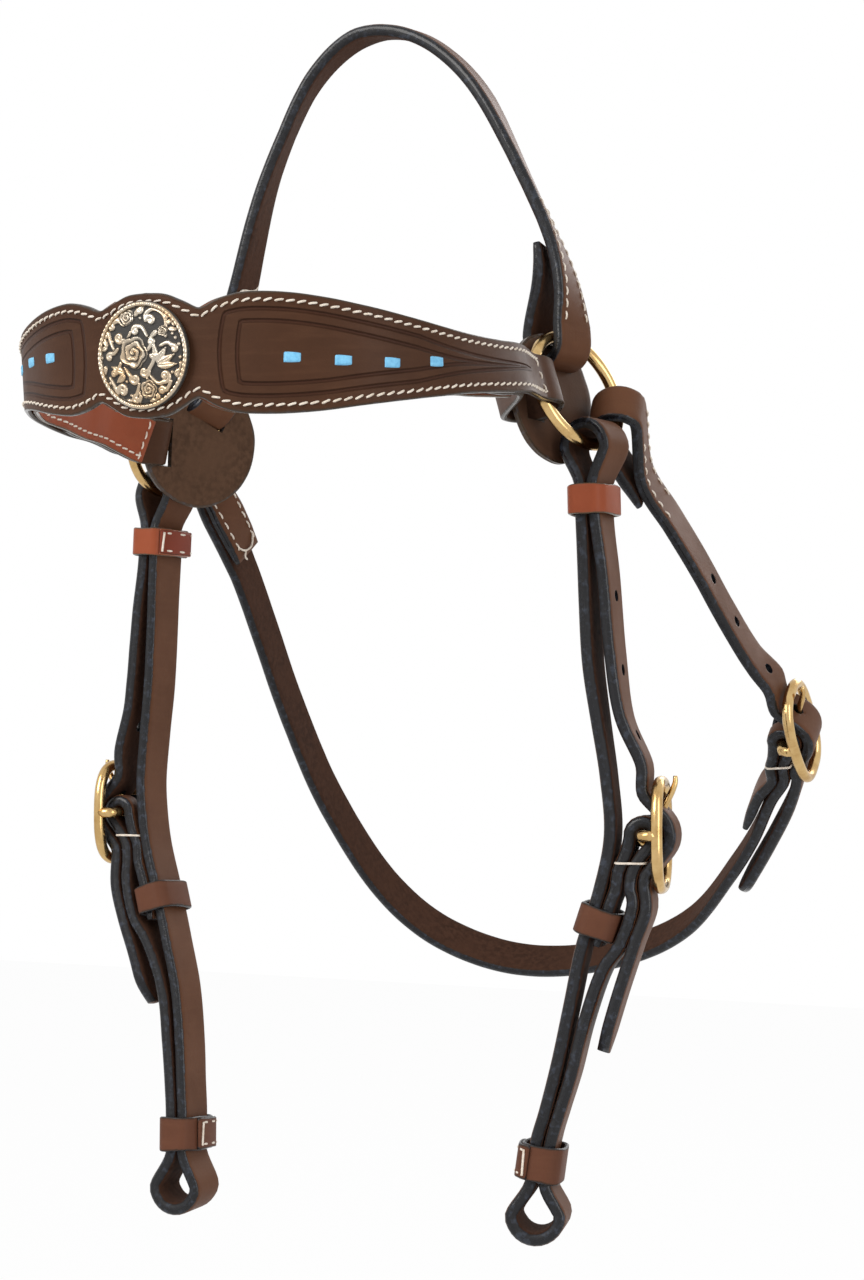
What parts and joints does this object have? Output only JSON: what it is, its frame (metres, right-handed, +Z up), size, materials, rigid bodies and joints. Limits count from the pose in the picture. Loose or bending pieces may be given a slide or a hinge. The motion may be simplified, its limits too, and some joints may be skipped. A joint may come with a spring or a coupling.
{
  "type": "barcoo bridle",
  "caption": "Leather work bridle of headpiece, shaped browband with round concho, two buckled cheeks with bit loops, throatlash, cheek rings and keepers.",
  "frame": {"origin": "middle of the flat inner face under the top of the headpiece", "axes": "+Z up, -Y towards the browband at the front, +X towards the near side, which has the throatlash's buckle"},
  "size_m": [0.2815, 0.365, 0.4844],
  "materials": {
    "dark_leather": "oiled and burnished",
    "tan_leather": "red tan, semi-gloss",
    "brass": "polished",
    "antique_silver": "antiqued, worn bright on the high parts",
    "thread": "waxed linen thread",
    "lace": "dyed lace, satin"
  },
  "bodies": {
    "headpiece_and_browband": {"headpiece": "dark_leather", "browband_face": "dark_leather", "browband_lining": "tan_leather", "concho": "antique_silver", "concho_nut": "antique_silver", "ring_pad_near": "dark_leather", "ring_pad_far": "dark_leather"},
    "ring_near": {"ring_near": "brass"},
    "ring_far": {"ring_far": "brass"},
    "cheek_near": {"cheek_strap_near": "dark_leather"},
    "top_keeper_near": {"top_keeper_near": "tan_leather"},
    "middle_keeper_near": {"middle_keeper_near": "dark_leather"},
    "bit_keeper_near": {"bit_keeper_near": "dark_leather"},
    "cheek_buckle_near": {"cheek_buckle_near": "brass"},
    "cheek_tongue_near": {"cheek_tongue_near": "brass"},
    "cheek_far": {"cheek_strap_far": "dark_leather"},
    "top_keeper_far": {"top_keeper_far": "tan_leather"},
    "middle_keeper_far": {"middle_keeper_far": "dark_leather"},
    "bit_keeper_far": {"bit_keeper_far": "dark_leather"},
    "cheek_buckle_far": {"cheek_buckle_far": "brass"},
    "cheek_tongue_far": {"cheek_tongue_far": "brass"},
    "throatlash": {"throat_billet": "dark_leather", "throat_strap": "dark_leather"},
    "throat_buckle": {"throat_buckle": "brass"},
    "throat_tongue": {"throat_tongue": "brass"}
  },
  "joints": [
    {"name": "ring_near_turn", "type": "hinge", "parent": "headpiece_and_browband", "child": "ring_near", "pos_m": [0.0915, -0.00046, -0.15225], "axis": [0.9027, -0.2812, 0.3256], "continuous": true},
    {"name": "ring_far_turn", "type": "hinge", "parent": "headpiece_and_browband", "child": "ring_far", "pos_m": [-0.0915, -0.00046, -0.15935], "axis": [-0.8986, 0.3271, 0.2924], "continuous": true},
    {"name": "cheek_near_swing", "type": "hinge", "parent": "headpiece_and_browband", "child": "cheek_near", "pos_m": [0.0915, -0.00046, -0.15225], "axis": [-0.9027, 0.2812, -0.3256], "range_deg": [0, 12]},
    {"name": "top_keeper_near_slide", "type": "slide", "parent": "cheek_near", "child": "top_keeper_near", "axis": [-0.0115, -0.0261, 0.9996], "range_m": [0, 0.001]},
    {"name": "middle_keeper_near_slide", "type": "slide", "parent": "cheek_near", "child": "middle_keeper_near", "axis": [0.299, 0.0955, 0.9495], "range_m": [0, 0.003]},
    {"name": "bit_keeper_near_slide", "type": "slide", "parent": "cheek_near", "child": "bit_keeper_near", "axis": [0.1142, 0.0997, 0.9884], "range_m": [0, 0.006]},
    {"name": "cheek_buckle_near_hinge", "type": "hinge", "parent": "cheek_near", "child": "cheek_buckle_near", "pos_m": [0.11607, 0.00638, -0.32205], "axis": [0.2297, -0.9733, 0], "range_deg": [0, 2.5]},
    {"name": "cheek_tongue_near_hinge", "type": "hinge", "parent": "cheek_buckle_near", "child": "cheek_tongue_near", "pos_m": [0.11607, 0.00638, -0.32205], "axis": [0.2297, -0.9733, 0], "range_deg": [0, 3]},
    {"name": "cheek_far_swing", "type": "hinge", "parent": "headpiece_and_browband", "child": "cheek_far", "pos_m": [-0.0915, -0.00046, -0.15935], "axis": [-0.8986, 0.3271, 0.2924], "range_deg": [0, 12]},
    {"name": "top_keeper_far_slide", "type": "slide", "parent": "cheek_far", "child": "top_keeper_far", "axis": [0.0569, -0.0201, 0.9982], "range_m": [0, 0.001]},
    {"name": "middle_keeper_far_slide", "type": "slide", "parent": "cheek_far", "child": "middle_keeper_far", "axis": [-0.3041, 0.0858, 0.9488], "range_m": [0, 0.003]},
    {"name": "bit_keeper_far_slide", "type": "slide", "parent": "cheek_far", "child": "bit_keeper_far", "axis": [-0.0608, 0.0969, 0.9934], "range_m": [0, 0.006]},
    {"name": "cheek_buckle_far_hinge", "type": "hinge", "parent": "cheek_far", "child": "cheek_buckle_far", "pos_m": [-0.11739, 0.00307, -0.31645], "axis": [-0.0422, 0.9991, 0], "range_deg": [0, 2.5]},
    {"name": "cheek_tongue_far_hinge", "type": "hinge", "parent": "cheek_buckle_far", "child": "cheek_tongue_far", "pos_m": [-0.11739, 0.00307, -0.31645], "axis": [-0.0422, 0.9991, 0], "range_deg": [0, 3]},
    {"name": "throatlash_swing", "type": "hinge", "parent": "headpiece_and_browband", "child": "throatlash", "pos_m": [0.00643, 0.01896, -0.16547], "axis": [0.9989, -0.0045, 0.0472], "range_deg": [0, 6]},
    {"name": "throat_buckle_hinge", "type": "hinge", "parent": "throatlash", "child": "throat_buckle", "pos_m": [0.138, 0.11448, -0.28227], "axis": [0.0255, -0.7878, -0.6155], "range_deg": [0, 2.5]},
    {"name": "throat_tongue_hinge", "type": "hinge", "parent": "throat_buckle", "child": "throat_tongue", "pos_m": [0.138, 0.11448, -0.28227], "axis": [0.0255, -0.7878, -0.6155], "range_deg": [0, 3]}
  ]
}
